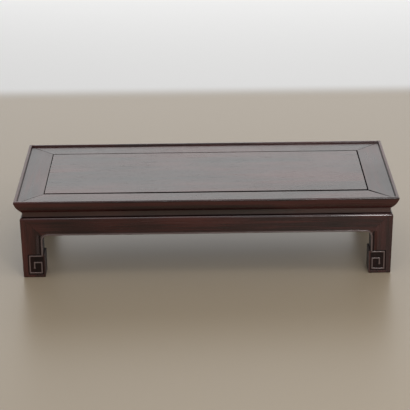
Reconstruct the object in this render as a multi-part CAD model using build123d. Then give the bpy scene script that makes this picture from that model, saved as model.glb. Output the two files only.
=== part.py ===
from build123d import *
import math
import os

# Kang table: a low rectangular table with a mitred and tongued top, a recessed waist,
# straight aprons and square-scroll feet.
# Millimetres. +X runs along the length, -Y is the front, +Z is up.
# The origin is on the floor under the middle of the table.

# --- Overall ---------------------------------------------------------------------------
table_length = 1000.0
table_depth = 476.0
table_height = 217.0

# --- Top frame -------------------------------------------------------------------------
rail_width = 73.0            # outer edge to inner edge, seen from above
frame_thickness = 34.5       # crest of the lip to the underside
lip_crest_width = 7.8        # outer edge to the start of the hollow
lip_outer_round = 3.5
lip_inner_round = 1.2
lip_hollow_radius = 3.6
rail_arris_round = 0.8
moulding_undercut = 18.5     # how far the edge moulding sweeps in at the underside
moulding_bulge = 2.6         # belly of the moulding from its chord

# --- Joint of the frame corners ---------------------------------------------------------
rail_tenon_thickness = 9.0
rail_tenon_width = 38.0
rail_tenon_inset = 20.0      # outer edge of the long rail to the cheek of its tenon
rail_tenon_cover = 14.0      # wood left in front of the end of the tenon
rail_tenon_rise = 13.5       # underside of the frame to the underside of the tenon
tenon_end_gap = 0.3          # every tenon stops this short of the bottom of its mortise

# --- Panel -------------------------------------------------------------------------------
panel_thickness = 11.0
panel_lip_depth = 4.0        # the show face stands this much above its tongue
panel_arris_round = 0.9
panel_groove_depth = 8.0
panel_tongue_hold = 3.0      # tongue left inside each groove
panel_tongue_clearance = 0.2
panel_gap_left = 1.7
panel_gap_right = 2.8
panel_gap_front = 4.4
panel_gap_rear = 2.2

# --- Battens -------------------------------------------------------------------------------
batten_count = 3
batten_width = 26.0
batten_height = 14.0
batten_dovetail_height = 3.0
batten_dovetail_width = 18.0
batten_dovetail_flare = 1.2  # each flank leans out by this much
batten_dovetail_stop = 7.0   # dovetail stops this far inside the rails
batten_tenon_length = 10.0
batten_tenon_width = 16.0
batten_tenon_thickness = 8.0

# --- Waist ---------------------------------------------------------------------------------
waist_height = 14.5
waist_thickness = 8.0
waist_hollow = 0.8
waist_tongue_thickness = 4.0
waist_tongue_height = 4.0

# --- Aprons --------------------------------------------------------------------------------
apron_height = 50.0
apron_thickness = 22.0
apron_setback = 13.0         # outer edge of the frame to the face of the apron at its top
shoulder_round = 6.3         # rounded top edge of the apron and the legs
opening_round = 15.0         # corner of the opening, where apron and leg meet

# --- Bead along the opening ------------------------------------------------------------------
bead_width = 3.4
bead_sink = 0.2              # crest of the bead below the face
bead_slope = 1.2             # width and height of its two sloping sides
bead_groove_width = 3.2
carving_clearance = 1.0      # how far a cutting shape stands off the wood

# --- Legs ------------------------------------------------------------------------------------
leg_width = 56.5
leg_lean = 3.3               # outer faces lean in by this much from apron top to floor
leg_arris_round = 3.0
foot_height = 62.0
foot_step = 5.0              # the foot steps out this much on the inner side
foot_step_chamfer = 1.0
foot_edge_chamfer = 2.0
leg_hollow_width = 11.6
leg_hollow_depth = 2.4
leg_hollow_belly = 0.7
leg_hollow_above_bead = 2.0  # top of the hollow above the bottom of the apron

# --- Square scroll on the feet ------------------------------------------------------------------
scroll_ridge_width = 3.6
scroll_groove_width = 3.4
scroll_depth = 1.7
scroll_base = 7.5            # floor to the bottom of the sunk field
scroll_border = 3.8          # inner edge of the foot to the sunk field
scroll_outer_border = 16.2   # outer face at the apron top to the sunk field
scroll_hook_height = 42.0    # floor to the upper stroke of the hook at the heart
scroll_hook_reach = 19.0
scroll_hook_drop = 15.5
scroll_knob_radius = 2.9

# --- Joint of leg, apron and waist ------------------------------------------------------------------
peg_inset = 14.0             # inner face of the leg to the middle of the hanging peg
peg_root_width = 7.0
peg_head_width = 11.0
peg_height = 6.0             # how far the peg stands out of the leg
peg_top_cover = 5.0          # wood above the peg

# --- Tenons of the leg into the frame ------------------------------------------------------------------
leg_tenon_inset = 5.5        # leg's inner face to the tenons
leg_tenon_width = 12.0
leg_tenon_thickness = 10.0
leg_tenon_setback = 5.0      # back of the waist to the tenons
leg_tenon_long = 18.0
leg_tenon_short = 10.0

# --- Dovetail keys behind the aprons ------------------------------------------------------------------
key_width = 12.0
key_flare = 3.0              # each flank of the dovetail leans out by this much
key_thickness = 11.7
key_foot_height = 8.0        # bottom of the apron to the foot of the key
key_tenon_width = 8.0
key_tenon_thickness = 6.0
key_tenon_height = 10.0
long_key_spacing = 430.0     # between the two keys of a long apron

# --- Worked out from the sizes above ---------------------------------------------------------------
half_length = table_length / 2
half_depth = table_depth / 2
lip_height = lip_inner_round + lip_hollow_radius
surface_z = table_height - lip_height
frame_bottom = table_height - frame_thickness
apron_top = frame_bottom - waist_height
apron_bottom = apron_top - apron_height
lean_angle = math.atan2(leg_lean, apron_top)
waist_back = shoulder_round + waist_thickness
panel_bottom = surface_z - panel_thickness
tongue_top = surface_z - panel_lip_depth
leg_x = half_length - apron_setback
leg_y = half_depth - apron_setback
short_opening = 2 * (leg_y - leg_width)
beyond = 2 * table_height    # reaches past the whole table in any direction


def face_depth(z):
    """Distance that the leaning face has moved in at height z."""
    return leg_lean * (apron_top - z) / apron_top


def along_slope(z):
    """Distance up the leaning face that reaches height z."""
    return z / math.cos(lean_angle)


def block(x, y, z):
    """A box from three pairs of limits."""
    size = Box(x[1] - x[0], y[1] - y[0], z[1] - z[0], align=(Align.MIN, Align.MIN, Align.MIN))
    return Pos(x[0], y[0], z[0]) * size


def polygon_prism(points, start, end):
    """A polygon drawn from above, standing from height start to height end."""
    return Pos(0, 0, start) * extrude(make_face(Polyline(*points, close=True)), end - start)


def front_prism(outline, near, far):
    """An outline drawn from the front (x, z), running from y = near to y = far."""
    section = Plane(origin=(0, far, 0), x_dir=(1, 0, 0), z_dir=(0, -1, 0))
    return section * extrude(outline, far - near)


def side_run(outline, start, end):
    """An outline drawn from the end (y, z), running from x = start to x = end."""
    section = Plane(origin=(start, 0, 0), x_dir=(0, 1, 0), z_dir=(1, 0, 0))
    return section * extrude(outline, end - start)


def turned(piece, side):
    """Turn a piece made for the front to the side of the table where it belongs."""
    angle = {"front": 0, "right": 90, "rear": 180, "left": -90}[side]
    return Rot(0, 0, angle) * piece


def mirrored_x(piece):
    """The same piece at the other end of the table."""
    return mirror(piece, about=Plane.YZ)


def mirrored_y(piece):
    """The same piece on the other long side of the table."""
    return mirror(piece, about=Plane.XZ)


def run_sizes(side):
    """Half length along a side, and distance from the middle of the table to its edge."""
    if side in ("front", "rear"):
        return half_length, half_depth
    return half_depth, half_length


def mitred_span(half_run, reach, outer_inset, width):
    """Plan of a strip whose two ends are cut at 45 degrees."""
    outer_run = half_run - outer_inset
    inner_run = outer_run - width
    outer_y = -(reach - outer_inset)
    inner_y = outer_y + width
    return [(-outer_run, outer_y), (outer_run, outer_y), (inner_run, inner_y), (-inner_run, inner_y)]


# --- Top frame -------------------------------------------------------------------------

def rail_section():
    """Section of a frame member: x is the distance in from its outer edge, y the height."""
    crest_start = (lip_outer_round, table_height)
    fascia_top = (0, table_height - lip_outer_round)
    hollow_top = (lip_crest_width, table_height - lip_inner_round)
    hollow_foot = (lip_crest_width + lip_hollow_radius, surface_z)
    arris_start = (rail_width - rail_arris_round, surface_z)
    arris_end = (rail_width, surface_z - rail_arris_round)
    groove_roof = tongue_top + panel_tongue_clearance
    groove_back = rail_width - panel_groove_depth
    undercut = (moulding_undercut, frame_bottom)
    outline = [
        SagittaArc(undercut, fascia_top, moulding_bulge),
        JernArc(fascia_top, (0, 1), lip_outer_round, -90),
        Line(crest_start, (lip_crest_width - lip_inner_round, table_height)),
        JernArc((lip_crest_width - lip_inner_round, table_height), (1, 0), lip_inner_round, -90),
        JernArc(hollow_top, (0, -1), lip_hollow_radius, 90),
        Line(hollow_foot, arris_start),
        JernArc(arris_start, (1, 0), rail_arris_round, -90),
        Polyline(
            arris_end,
            (rail_width, groove_roof),
            (groove_back, groove_roof),
            (groove_back, panel_bottom),
            (rail_width, panel_bottom),
            (rail_width, frame_bottom),
            undercut,
        ),
    ]
    return make_face(Curve() + outline)


def rail_blank(side):
    """Moulded frame member with mitred ends and the groove for the waist, drawn at the front."""
    half_run, reach = run_sizes(side)
    bar = Pos(0, -reach, 0) * side_run(rail_section(), -half_run, half_run)
    mitres = polygon_prism(mitred_span(half_run, reach, 0, rail_width), 0, beyond)
    return (bar & mitres) - waist_tongue(side, True)


def rail_tenon(clearance=0.0):
    """Tenon at the left end of the front rail; the mortise is longer by the clearance."""
    near = -half_depth + rail_tenon_inset
    low = frame_bottom + rail_tenon_rise
    return block(
        (-half_length + rail_tenon_cover - clearance, -half_length + rail_width),
        (near, near + rail_tenon_width),
        (low, low + rail_tenon_thickness),
    )


def long_rail():
    """Front rail: tenons at its ends and mortises for all that it holds."""
    side = "front"
    rail = rail_blank(side) + rail_tenon() + mirrored_x(rail_tenon())
    for x in batten_positions():
        rail -= Pos(x, 0, 0) * batten_tenon(tenon_end_gap)
    for x in key_positions(side):
        rail -= Pos(x, 0, 0) * key_tenon(side, tenon_end_gap)
    leg_mortise = Pos(-leg_x, -leg_y, 0) * leg_long_tenon(tenon_end_gap)
    return rail - leg_mortise - mirrored_x(leg_mortise)


def short_rail():
    """Left rail: mortised at its ends for the long rails and the legs."""
    side = "left"
    rail = turned(rail_blank(side), side)
    leg_mortise = Pos(-leg_x, -leg_y, 0) * leg_short_tenon(tenon_end_gap)
    for mortise in (rail_tenon(tenon_end_gap), leg_mortise):
        rail = rail - mortise - mirrored_y(mortise)
    for x in key_positions(side):
        rail -= turned(Pos(x, 0, 0) * key_tenon(side, tenon_end_gap), side)
    return rail


# --- Panel and battens -----------------------------------------------------------------------

def batten_positions():
    """Middle of each batten, evenly spaced across the length of the panel."""
    clear_length = table_length - 2 * rail_width
    step = clear_length / (batten_count + 1)
    return [step * (i + 1) - clear_length / 2 for i in range(batten_count)]


def dovetail(root_width, head_width, height, length):
    """Dovetail rib along +Y: root at z = 0, head at z = height."""
    half_root = root_width / 2
    half_head = head_width / 2
    outline = Polyline(
        (-half_root, 0), (half_root, 0), (half_head, height), (-half_head, height), close=True
    )
    return front_prism(make_face(outline), -length / 2, length / 2)


def batten_dovetail():
    """Rib along the top of a batten that holds the panel flat."""
    head_width = batten_dovetail_width + 2 * batten_dovetail_flare
    length = table_depth - 2 * (rail_width + batten_dovetail_stop)
    rib = dovetail(batten_dovetail_width, head_width, batten_dovetail_height, length)
    return Pos(0, 0, panel_bottom) * rib


def batten_tenon(clearance=0.0):
    """Front tenon of a batten; the mortise is deeper by the clearance."""
    y_root = -half_depth + rail_width
    z_low = panel_bottom - batten_height + (batten_height - batten_tenon_thickness) / 2
    return block(
        (-batten_tenon_width / 2, batten_tenon_width / 2),
        (y_root - batten_tenon_length - clearance, y_root),
        (z_low, z_low + batten_tenon_thickness),
    )


def batten():
    """Cross batten under the panel, tenoned into both long rails."""
    half_span = half_depth - rail_width
    bar = block(
        (-batten_width / 2, batten_width / 2),
        (-half_span, half_span),
        (panel_bottom - batten_height, panel_bottom),
    )
    return bar + batten_dovetail() + batten_tenon() + mirrored_y(batten_tenon())


def top_panel():
    """Floating panel: show face level with the frame, tongue on four sides."""
    x_left = -half_length + rail_width + panel_gap_left
    x_right = half_length - rail_width - panel_gap_right
    y_front = -half_depth + rail_width + panel_gap_front
    y_rear = half_depth - rail_width - panel_gap_rear
    show = block((x_left, x_right), (y_front, y_rear), (panel_bottom, surface_z))
    show = fillet(show.faces().sort_by(Axis.Z)[-1].edges(), panel_arris_round)
    hold_x = half_length - rail_width + panel_tongue_hold
    hold_y = half_depth - rail_width + panel_tongue_hold
    tongue = block((-hold_x, hold_x), (-hold_y, hold_y), (panel_bottom, tongue_top))
    panel = show + tongue
    for x in batten_positions():
        panel -= Pos(x, 0, 0) * batten_dovetail()
    return panel


# --- Waist -----------------------------------------------------------------------------------

def waist_tongue(side, upper):
    """Tongue of a waist strip, into the frame above or the apron below."""
    half_run, reach = run_sizes(side)
    half_span = half_run - apron_setback - leg_width
    y_middle = -reach + apron_setback + shoulder_round + waist_thickness / 2
    z_low = frame_bottom if upper else apron_top - waist_tongue_height
    return block(
        (-half_span, half_span),
        (y_middle - waist_tongue_thickness / 2, y_middle + waist_tongue_thickness / 2),
        (z_low, z_low + waist_tongue_height),
    )


def waist_strip(side):
    """Waist strip with a slightly hollow face, mitred over the legs, drawn at the front."""
    half_run, reach = run_sizes(side)
    inset = apron_setback + shoulder_round
    section = make_face(
        Curve()
        + [
            SagittaArc((0, apron_top), (0, frame_bottom), -waist_hollow),
            Polyline(
                (0, frame_bottom),
                (waist_thickness, frame_bottom),
                (waist_thickness, apron_top),
                (0, apron_top),
            ),
        ]
    )
    bar = Pos(0, inset - reach, 0) * side_run(section, -half_run, half_run)
    mitres = polygon_prism(mitred_span(half_run, reach, inset, waist_thickness), 0, beyond)
    return (bar & mitres) + waist_tongue(side, True) + waist_tongue(side, False)


# --- Leaning faces of aprons and legs -------------------------------------------------------
# Everything carved on a face is drawn in the plane of that face: x along the side, y up the
# slope, z outward.

def leaning_plane(x, y):
    """Plane of a face that looks to the front; (x, y) is its origin on the floor."""
    outward = (0, -math.cos(lean_angle), -math.sin(lean_angle))
    return Plane(origin=(x, y, 0), x_dir=(1, 0, 0), z_dir=outward)


def bead_section():
    """What is cut away to leave the bead and the groove beside it.

    x is the distance from the edge of the opening into the wood, y points out of the face.
    """
    foot = -bead_sink - bead_slope
    outer = bead_width + bead_groove_width
    outline = Polyline(
        (-carving_clearance, foot - carving_clearance),
        (bead_slope, -bead_sink),
        (bead_width - bead_slope, -bead_sink),
        (bead_width, foot),
        (outer, 0),
        (outer, carving_clearance),
        (-carving_clearance, carving_clearance),
        close=True,
    )
    return make_face(outline)


def upright_section(x, start):
    """Plane across the left edge of an opening: x runs into the wood, y out of the face."""
    return Plane(origin=(x, start, 0), x_dir=(-1, 0, 0), z_dir=(0, 1, 0))


def bead_cutter(opening):
    """The bead up a leg, along an opening of the given length and down the other leg."""
    start = along_slope(foot_height)
    bottom = along_slope(apron_bottom)
    knee = bottom - opening_round
    path = [
        Line((0, start), (0, knee)),
        JernArc((0, knee), (0, 1), opening_round, -90),
        Line((opening_round, bottom), (opening - opening_round, bottom)),
        JernArc((opening - opening_round, bottom), (1, 0), opening_round, -90),
        Line((opening, knee), (opening, start)),
    ]
    wire = Wire([line.edge() for line in path])
    return sweep(upright_section(0, start) * bead_section(), path=wire)


# --- Aprons -----------------------------------------------------------------------------------

# The mitre of leg and apron climbs from the corner of the opening to the rounded shoulder of
# the leg's outer arris.

def mitre_run():
    """How far the mitre runs across the leg and up the face."""
    return leg_width - shoulder_round, along_slope(apron_top) - along_slope(apron_bottom)


def mitre_foot():
    """How far across and down the mitre runs out to meet the round of the opening."""
    across, up = mitre_run()
    length = math.hypot(across, up)
    lean = (across + up) / length
    reach = opening_round * (lean - math.sqrt(lean ** 2 - 1))
    return reach * across / length, reach * up / length


def apron_outline(half_opening):
    """Apron drawn on its face: mitred laps at both ends, rounded corners of the opening."""
    bottom = along_slope(apron_bottom)
    across, up = mitre_run()
    foot_across, foot_down = mitre_foot()
    foot_x = half_opening - foot_across
    foot_y = bottom - foot_down
    top = bottom + up
    tip_x = half_opening + across
    flat = half_opening - opening_round
    return make_face(
        Curve()
        + [
            Polyline((-foot_x, foot_y), (-tip_x, top), (tip_x, top), (foot_x, foot_y)),
            TangentArc((flat, bottom), (foot_x, foot_y), tangent=(1, 0)),
            Line((flat, bottom), (-flat, bottom)),
            TangentArc((-flat, bottom), (-foot_x, foot_y), tangent=(-1, 0)),
        ]
    )


def through_face(face, outline):
    """An outline drawn on a leaning face, run square through the wood behind it."""
    return face * extrude(outline, apron_thickness + leg_lean, both=True)


def face_slab(low):
    """Section of an apron: leaning face and rounded shoulder, x is the distance in from it."""
    corners = Polyline(
        (0, apron_top),
        (apron_thickness, apron_top),
        (apron_thickness, low),
        (face_depth(low), low),
        close=True,
    )
    slab = make_face(corners)
    shoulder = slab.vertices().sort_by_distance(Vector(0, apron_top, 0))[0]
    return fillet(shoulder, shoulder_round)


def apron(side):
    """Apron with the bead along its lower edge, drawn at the front."""
    half_run, reach = run_sizes(side)
    corner_x = half_run - apron_setback
    half_opening = corner_x - leg_width
    face_y = -reach + apron_setback
    face = leaning_plane(0, face_y + leg_lean)
    section = face_slab(apron_bottom - opening_round)
    board = Pos(0, face_y, 0) * side_run(section, -corner_x, corner_x)
    board &= through_face(face, apron_outline(half_opening))
    board &= polygon_prism(mitred_span(half_run, reach, apron_setback, apron_thickness), 0, beyond)
    lap_back = block((half_opening, half_run), (face_y + waist_back, 0), (0, beyond))
    peg = Pos(-corner_x, face_y, 0) * hanging_peg()
    for cut in (lap_back, peg):
        board = board - cut - mirrored_x(cut)
    board -= waist_tongue(side, False)
    for x in key_positions(side):
        board -= Pos(x, 0, 0) * key_dovetail(side)
    return board - face * Pos(-half_opening, 0, 0) * bead_cutter(2 * half_opening)


# --- Dovetail keys --------------------------------------------------------------------------------

def key_positions(side):
    """Middle of each key along its apron."""
    if side in ("front", "rear"):
        return [-long_key_spacing / 2, long_key_spacing / 2]
    return [0.0]


def key_near(side):
    """Back of the waist, where the keys start, as y at the front."""
    return -run_sizes(side)[1] + apron_setback + waist_back


def key_dovetail(side):
    """The part of a key that sits in the back of the apron."""
    near = key_near(side)
    far = near + apron_thickness - waist_back
    half_mouth = key_width / 2
    half_root = half_mouth + key_flare
    plan = [(-half_root, near), (half_root, near), (half_mouth, far), (-half_mouth, far)]
    return polygon_prism(plan, apron_bottom + key_foot_height, apron_top)


def key_tenon(side, clearance=0.0):
    """Tenon on top of a key, into the frame above; the mortise is deeper by the clearance."""
    middle = key_near(side) + key_thickness / 2
    return block(
        (-key_tenon_width / 2, key_tenon_width / 2),
        (middle - key_tenon_thickness / 2, middle + key_tenon_thickness / 2),
        (frame_bottom, frame_bottom + key_tenon_height + clearance),
    )


def key(side):
    """Dovetail key that ties the apron and the waist to the frame, drawn at the front."""
    near = key_near(side)
    far = near + key_thickness
    apron_back = near + apron_thickness - waist_back
    across = (-key_width / 2, key_width / 2)
    shank = block(across, (near, far), (apron_top, frame_bottom))
    heel = block(across, (apron_back, far), (apron_bottom + key_foot_height, apron_top))
    return shank + heel + key_dovetail(side) + key_tenon(side)


# --- Legs, drawn with the outer corner of their top at x = y = 0 ----------------------------------

def swapped(piece):
    """The same shape on the other outer face of the leg."""
    return mirror(piece, about=Plane(origin=(0, 0, 0), z_dir=(1, -1, 0)))


def on_both_faces(piece):
    """The shape together with its twin on the other outer face."""
    return [piece, swapped(piece)]


def leg_outline():
    """Front view of a leg: x is the distance in from the outer face at the apron top."""
    foot_inner = leg_width + foot_step
    corners = Polyline(
        (0, apron_top),
        (waist_back, apron_top),
        (waist_back, frame_bottom),
        (leg_width, frame_bottom),
        (leg_width, foot_height),
        (foot_inner, foot_height),
        (foot_inner, 0),
        (leg_lean, 0),
        close=True,
    )
    outline = make_face(corners)
    shoulder = outline.vertices().sort_by_distance(Vector(0, apron_top, 0))[0]
    outline = fillet(shoulder, shoulder_round)
    chamfers = [
        ((foot_inner, foot_height), foot_step_chamfer),
        ((foot_inner, 0), foot_edge_chamfer),
        ((leg_lean, 0), foot_edge_chamfer),
    ]
    for (x, z), size in chamfers:
        corner = outline.vertices().sort_by_distance(Vector(x, z, 0))[0]
        outline = chamfer(corner, size)
    return outline


def leg_bar():
    """Square bar whose two outer faces lean in, with a rounded arris between them."""
    far = leg_width + foot_step
    top_edge = face_depth(frame_bottom)
    outline = Polyline(
        (leg_lean, 0), (far, 0), (far, frame_bottom), (top_edge, frame_bottom), close=True
    )
    bar = front_prism(make_face(outline), -leg_width, far)
    bar &= swapped(bar)
    arris = bar.edges().sort_by_distance(Vector(0, 0, apron_top / 2))[0]
    return fillet(arris, leg_arris_round)


def lap_recess(face):
    """Room for the mitred lap of the front apron, up to the diagonal of the leg."""
    bottom = along_slope(apron_bottom)
    across, up = mitre_run()
    top = bottom + up
    wedge = Polyline(
        (leg_width, bottom), (leg_width - across, top), (leg_width, top), close=True
    )
    in_front_of_diagonal = [
        (-leg_width, -leg_width),
        (leg_width, -leg_width),
        (leg_width, waist_back),
        (waist_back, waist_back),
    ]
    return through_face(face, make_face(wedge)) & polygon_prism(in_front_of_diagonal, 0, beyond)


def hanging_peg():
    """Dovetail peg on the leg that the lap of the front apron slides down onto."""
    middle = leg_width - peg_inset
    half_root = peg_root_width / 2
    half_head = peg_head_width / 2
    head_y = waist_back - peg_height
    plan = [
        (middle - half_root, waist_back),
        (middle - half_head, head_y),
        (middle + half_head, head_y),
        (middle + half_root, waist_back),
    ]
    return polygon_prism(plan, apron_bottom, apron_top - peg_top_cover)


def corner_web(face):
    """Part of the leg that fills its half of the rounded corner of the opening."""
    bottom = along_slope(apron_bottom)
    knee = (leg_width, bottom - opening_round)
    foot_across, foot_down = mitre_foot()
    mitre_end = (leg_width + foot_across, bottom - foot_down)
    outline = make_face(
        Curve()
        + [
            TangentArc(knee, mitre_end, tangent=(0, 1)),
            Polyline(mitre_end, (leg_width, bottom), knee),
        ]
    )
    behind_face = side_run(face_slab(apron_bottom - 2 * opening_round), 0, 2 * leg_width)
    return through_face(face, outline) & behind_face


def leg_hollow():
    """Hollow beside the bead, drawn on the face: a long arch with a sloping, concave floor."""
    outer = bead_width + leg_hollow_width
    foot = (bead_width, -leg_hollow_depth)
    section = make_face(
        Curve()
        + [
            SagittaArc(foot, (outer, 0), -leg_hollow_belly),
            Polyline((outer, 0), (outer, carving_clearance), (bead_width, carving_clearance), foot),
        ]
    )
    low = along_slope(foot_height)
    top = along_slope(apron_bottom + leg_hollow_above_bead)
    trough = extrude(upright_section(leg_width, low) * section, top - low)
    right = leg_width - bead_width
    left = leg_width - outer
    spring = top - leg_hollow_width / 2
    arch = make_face(
        Curve()
        + [
            Polyline((left, spring), (left, low), (right, low), (right, spring)),
            ThreePointArc((right, spring), ((left + right) / 2, top), (left, spring)),
        ]
    )
    return trough & extrude(arch, leg_hollow_depth + carving_clearance, both=True)


def scroll_points():
    """Middle line of the raised scroll, from the bead at the inner edge to its heart."""
    half_ridge = scroll_ridge_width / 2
    field_right = leg_width + foot_step - scroll_border
    field_left = scroll_outer_border
    start_x = field_right + half_ridge
    outer_x = field_left + scroll_groove_width + half_ridge
    inner_x = field_right - scroll_groove_width - half_ridge
    top_y = foot_height - half_ridge
    bottom_y = scroll_base + scroll_groove_width + half_ridge
    heart_x = inner_x - scroll_hook_reach
    return [
        (start_x, top_y),
        (outer_x, top_y),
        (outer_x, bottom_y),
        (inner_x, bottom_y),
        (inner_x, scroll_hook_height),
        (heart_x, scroll_hook_height),
        (heart_x, scroll_hook_height - scroll_hook_drop),
    ]


def scroll_ridge():
    """Plan of the raised scroll: straight strokes with a knob at its heart."""
    points = scroll_points()
    ridge = Pos(*points[-1]) * Circle(scroll_knob_radius)
    for (x1, y1), (x2, y2) in zip(points, points[1:]):
        stroke = Rectangle(
            abs(x2 - x1) + scroll_ridge_width, abs(y2 - y1) + scroll_ridge_width
        )
        ridge += Pos((x1 + x2) / 2, (y1 + y2) / 2) * stroke
    return ridge


def scroll_relief():
    """Field sunk into the foot round the raised square scroll, drawn on the face."""
    left = scroll_outer_border
    right = leg_width + foot_step - scroll_border
    bead_left = leg_width - bead_width
    top = foot_height + scroll_groove_width
    outline = Polyline(
        (left, scroll_base),
        (right, scroll_base),
        (right, foot_height),
        (bead_left, foot_height),
        (bead_left, top),
        (left, top),
        close=True,
    )
    sunk = extrude(make_face(outline) - scroll_ridge(), scroll_depth + carving_clearance)
    return Pos(0, 0, -scroll_depth) * sunk


def leg_tenon(height):
    """Tenon at the top of the leg, on the side of the long rail."""
    right = leg_width - leg_tenon_inset
    near = waist_back + leg_tenon_setback
    return block(
        (right - leg_tenon_width, right),
        (near, near + leg_tenon_thickness),
        (frame_bottom, frame_bottom + height),
    )


def leg_long_tenon(clearance=0.0):
    """Tenon into the long rail; the mortise is deeper by the clearance."""
    return leg_tenon(leg_tenon_long + clearance)


def leg_short_tenon(clearance=0.0):
    """Tenon into the short rail, which ends below the tenon of the long rail."""
    return swapped(leg_tenon(leg_tenon_short + clearance))


def leg():
    """Leg with its square-scroll foot, hanging pegs and tenons."""
    profile = front_prism(leg_outline(), -leg_width, leg_width + foot_step)
    body = leg_bar()
    for piece in on_both_faces(profile):
        body &= piece
    face = leaning_plane(0, leg_lean)
    for piece in on_both_faces(corner_web(face)):
        body += piece
    bead = Pos(leg_width, 0, 0) * bead_cutter(short_opening)
    for cut in (lap_recess(face), face * bead, face * leg_hollow(), face * scroll_relief()):
        for piece in on_both_faces(cut):
            body -= piece
    for piece in on_both_faces(hanging_peg()):
        body += piece
    return body + leg_long_tenon() + leg_short_tenon()


# --- Assembly ---------------------------------------------------------------------------------------

def save(name, piece):
    """Write one piece as a single solid."""
    solids = piece.solids()
    if len(solids) != 1:
        raise ValueError(f"{name} has {len(solids)} solids")
    export_step(solids[0], f"parts/{name}.step")


def save_all():
    os.makedirs("parts", exist_ok=True)
    corner_leg = Pos(-leg_x, -leg_y, 0) * leg()
    save("leg_front_left", corner_leg)
    save("leg_front_right", mirrored_x(corner_leg))
    save("leg_rear_left", mirrored_y(corner_leg))
    save("leg_rear_right", mirrored_x(mirrored_y(corner_leg)))
    for side in ("front", "rear", "left", "right"):
        save(f"apron_{side}", turned(apron(side), side))
        save(f"waist_{side}", turned(waist_strip(side), side))
    save("front_rail", long_rail())
    save("rear_rail", mirrored_y(long_rail()))
    save("left_rail", short_rail())
    save("right_rail", mirrored_x(short_rail()))
    for x, hand in zip(key_positions("front"), ("left", "right")):
        long_key = Pos(x, 0, 0) * key("front")
        save(f"key_front_{hand}", long_key)
        save(f"key_rear_{hand}", mirrored_y(long_key))
    for side in ("left", "right"):
        save(f"key_{side}", turned(key(side), side))
    for x, name in zip(batten_positions(), ("left", "middle", "right")):
        save(f"batten_{name}", Pos(x, 0, 0) * batten())
    save("top_panel", top_panel())


save_all()
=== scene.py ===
import math

import bmesh
import bpy
from mathutils import Matrix, Vector


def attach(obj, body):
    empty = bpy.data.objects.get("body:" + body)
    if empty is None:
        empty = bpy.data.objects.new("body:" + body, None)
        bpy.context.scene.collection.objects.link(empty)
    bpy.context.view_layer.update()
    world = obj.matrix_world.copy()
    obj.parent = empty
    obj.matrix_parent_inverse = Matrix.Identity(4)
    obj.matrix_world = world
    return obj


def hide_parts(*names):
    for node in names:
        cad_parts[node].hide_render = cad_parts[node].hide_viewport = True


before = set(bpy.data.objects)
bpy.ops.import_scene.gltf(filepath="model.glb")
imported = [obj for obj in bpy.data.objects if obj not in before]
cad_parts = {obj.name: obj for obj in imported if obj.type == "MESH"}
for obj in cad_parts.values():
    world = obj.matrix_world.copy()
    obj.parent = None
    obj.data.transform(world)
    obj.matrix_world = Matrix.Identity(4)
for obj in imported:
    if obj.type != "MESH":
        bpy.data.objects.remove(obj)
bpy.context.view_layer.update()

# Kang table in dark polished rosewood. Pieces are shaped in millimetres and brought to metres
# when they are settled. +X runs along the length, -Y is the front, the floor is z = 0.
MM = 0.001
HALF_LENGTH = 500.0
HALF_DEPTH = 238.0
HEIGHT = 217.0

# Top frame: its rails with their lip and swept edge
RAIL_WIDTH = 73.0
FRAME_THICKNESS = 34.5
LIP_WIDTH = 7.8
LIP_HEIGHT = 4.8
LIP_OUTER_ROUND = 3.3
LIP_CREST_ROUND = 1.1
LIP_HOLLOW = 3.4
FASCIA_DROP = 3.5
MOULDING_UNDERCUT = 18.5
MOULDING_BULGE = 2.6
ARRIS = 0.8
SEAM = 0.45

# Panel: its tongue, its shrinkage gaps and the dovetail grooves below it
PANEL_THICKNESS = 11.0
PANEL_LIP = 4.0
PANEL_GROOVE = 8.0
PANEL_TONGUE = 3.0
PANEL_GAPS = {"left": 1.7, "right": 2.8, "front": 6.4, "rear": 3.2}
TONGUE_EASE = 0.2
BATTEN_COUNT = 3
DOVETAIL_WIDTH = 18.0
DOVETAIL_FLARE = 1.2
DOVETAIL_HEIGHT = 3.0
DOVETAIL_STOP = 7.0

# Waist and aprons, with the bead round the opening
WAIST_HEIGHT = 14.5
WAIST_THICKNESS = 8.0
WAIST_HOLLOW = 0.8
APRON_HEIGHT = 50.0
APRON_THICKNESS = 22.0
APRON_SETBACK = 13.0
SHOULDER = 6.3
SHOULDER_FULLNESS = 0.37
OPENING_ROUND = 15.0
BEAD = 4.0
BEAD_DEPTH = 1.6
BEAD_GROOVE = 2.4
BEAD_RECESS = 0.1
BEAD_RUNOUT = 0.3

# Legs, with the long hollow beside the bead
LEG_WIDTH = 56.5
LEG_LEAN = 3.3
LEG_ROUND = 6.3
LEG_ARRIS = 3.0
FOOT_HEIGHT = 62.0
FOOT_LEDGE = 5.0
FOOT_ROUND = 3.0
LEDGE_ROUND = 2.8
WEB_LIFT = 0.3
HOLLOW_WIDTH = 11.6
HOLLOW_DEPTH = 2.4
HOLLOW_BELLY = 0.7
HOLLOW_RISE = 2.0
ARCH_CROWN = 0.05

# Square scroll of the foot
SCROLL_RIDGE = 3.7
SCROLL_GROOVE = 3.3
SCROLL_DEPTH = 1.9
SCROLL_SINK = 0.15
SCROLL_BASE = 7.5
SCROLL_BORDER = 3.8
SCROLL_OUTER_BORDER = 16.2
SCROLL_HOOK_HEIGHT = 42.0
SCROLL_HOOK_REACH = 19.0
SCROLL_HOOK_DROP = 15.5
SCROLL_KNOB = 2.9
SCROLL_ROUND = 1.6
SCROLL_EASE = 1.4

# Corners that count as carved: their heights, and how deep a face may lie
CARVING_LOW = 4.0
CARVING_RISE = 8.0
CARVING_REACH = 3.2

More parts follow.
